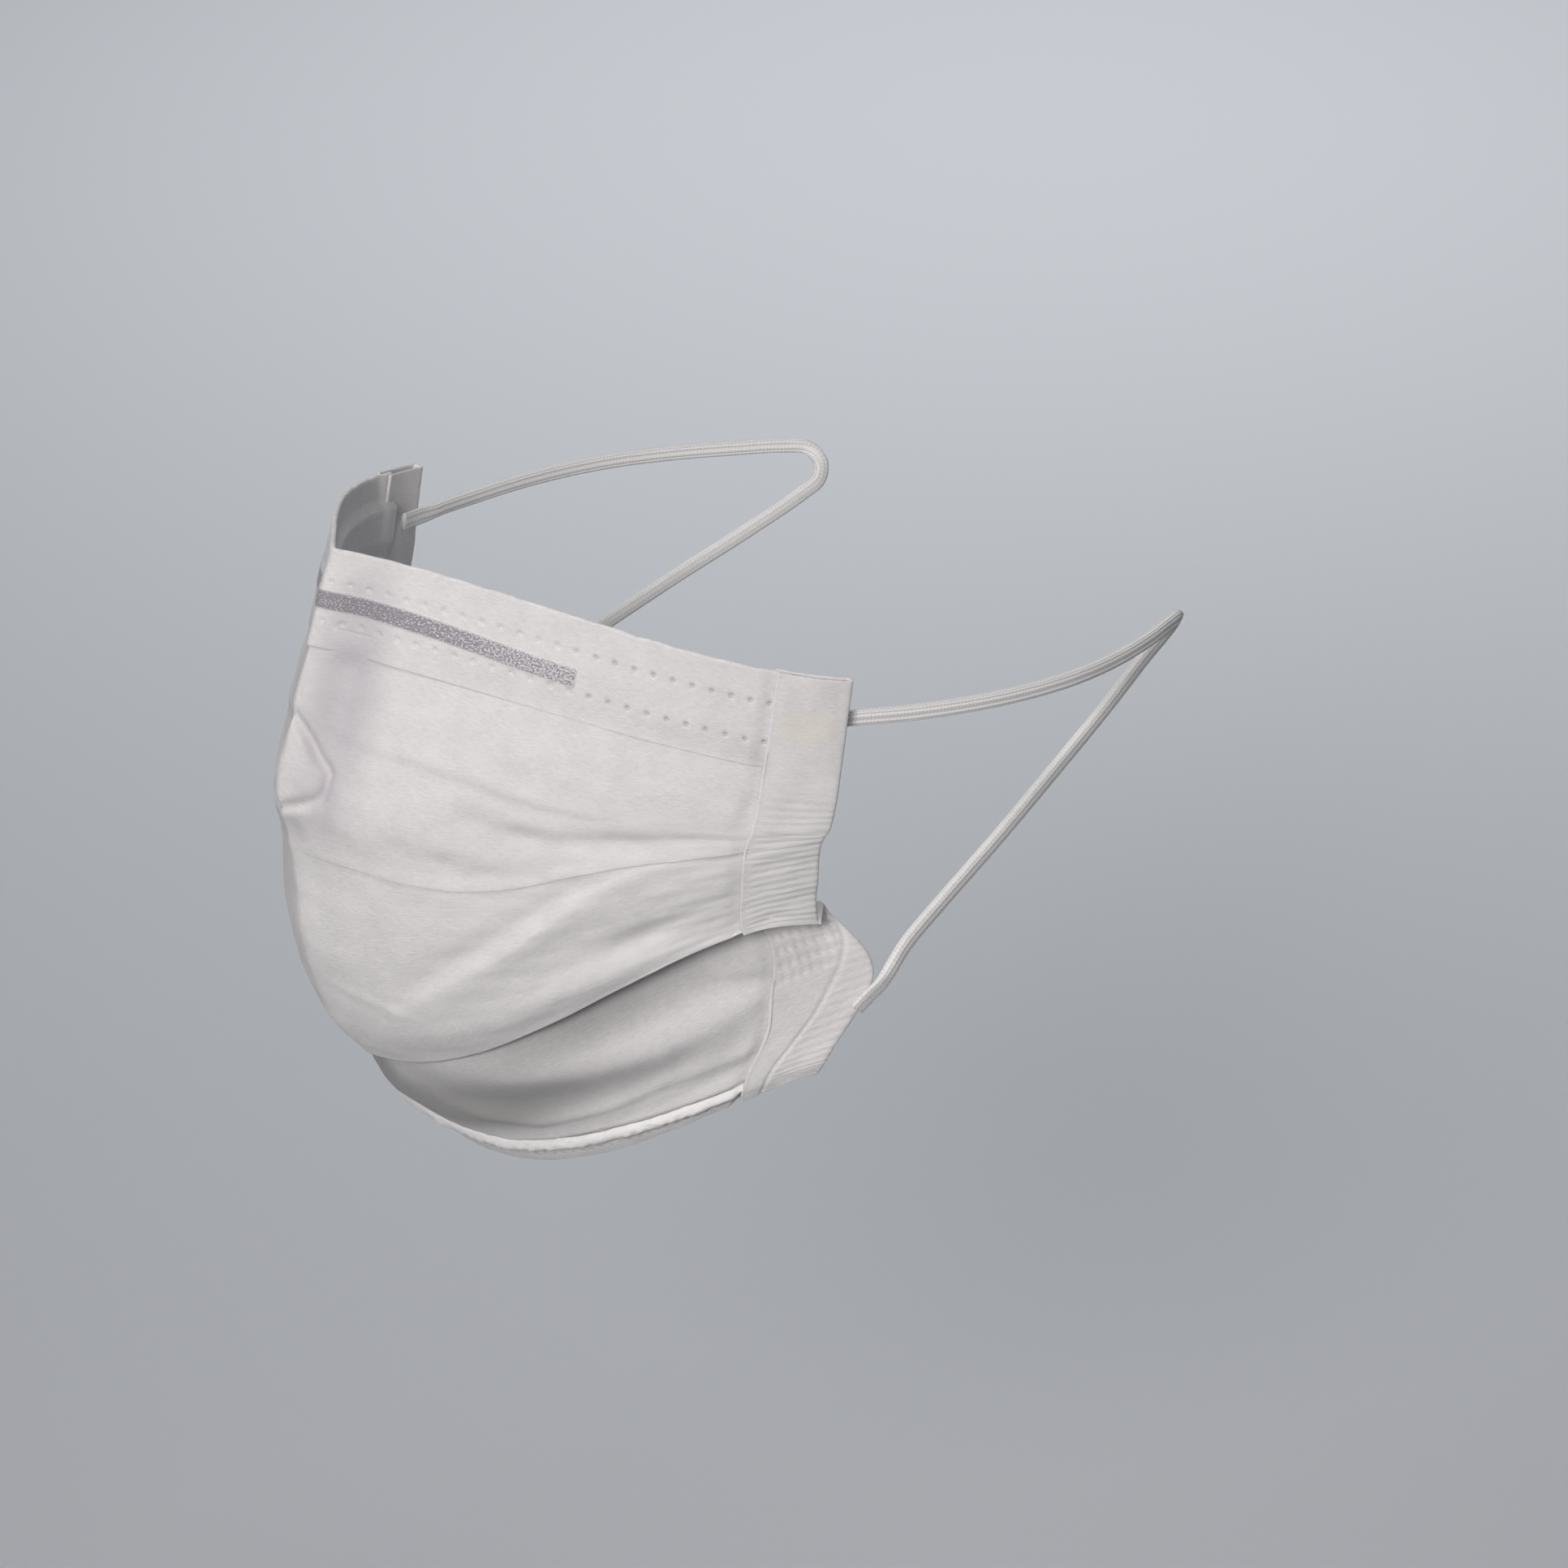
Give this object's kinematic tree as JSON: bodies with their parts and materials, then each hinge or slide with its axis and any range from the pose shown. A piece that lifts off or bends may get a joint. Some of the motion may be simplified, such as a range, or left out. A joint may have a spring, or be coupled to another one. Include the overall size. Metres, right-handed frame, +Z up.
{
  "type": "surgical face mask",
  "caption": "Pleated surgical face mask in its worn form, with a nose wire in the top hem, side tapes and elastic ear loops.",
  "frame": {"origin": "where the middle of the mask's top edge sits on the bridge of the wearer's nose", "axes": "the wearer looks along -Y with +Z up, and +X is the wearer's left"},
  "size_m": [0.1224, 0.1433, 0.1062],
  "materials": {
    "body_cloth": "white spunbonded cloth, thin and slightly fibrous",
    "hem_cloth": "white spunbonded cloth, folded and weld-dotted",
    "side_tape": "white spunbonded tape, embossed with fine ribs",
    "elastic": "white knitted elastic",
    "wire": "flat soft wire inside the cloth"
  },
  "bodies": {
    "root": {"mask_body": "body_cloth", "top_hem": "hem_cloth", "bottom_hem": "hem_cloth", "nose_wire": "wire", "side_binding_left": "side_tape", "side_binding_right": "side_tape", "ear_loop_left": "elastic", "ear_loop_right": "elastic"}
  },
  "joints": []
}
